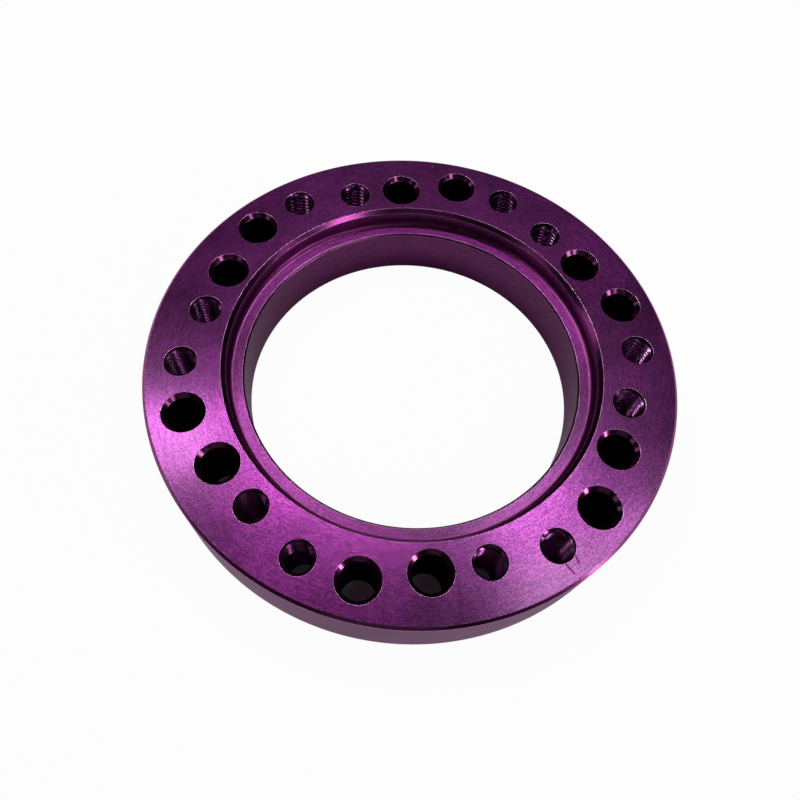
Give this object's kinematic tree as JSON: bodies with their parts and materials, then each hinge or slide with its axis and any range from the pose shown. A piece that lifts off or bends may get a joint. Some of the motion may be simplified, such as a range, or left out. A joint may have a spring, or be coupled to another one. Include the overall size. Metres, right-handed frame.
{
  "type": "steering wheel spacer",
  "caption": "Flat turned ring with a stepped bore, plain and tapped screw holes on two pitch circles, that spaces a steering wheel from its hub.",
  "frame": {"origin": "centre of the back face, which meets the hub", "axes": "+Z along the bore, from the hub face to the recessed wheel face; +X through the middle of a pair of plain holes"},
  "size_m": [0.0856, 0.0856, 0.013],
  "materials": {
    "anodised_aluminium": "fine turned, anodised purple, satin"
  },
  "bodies": {
    "root": {"spacer_ring": "anodised_aluminium"}
  },
  "joints": []
}
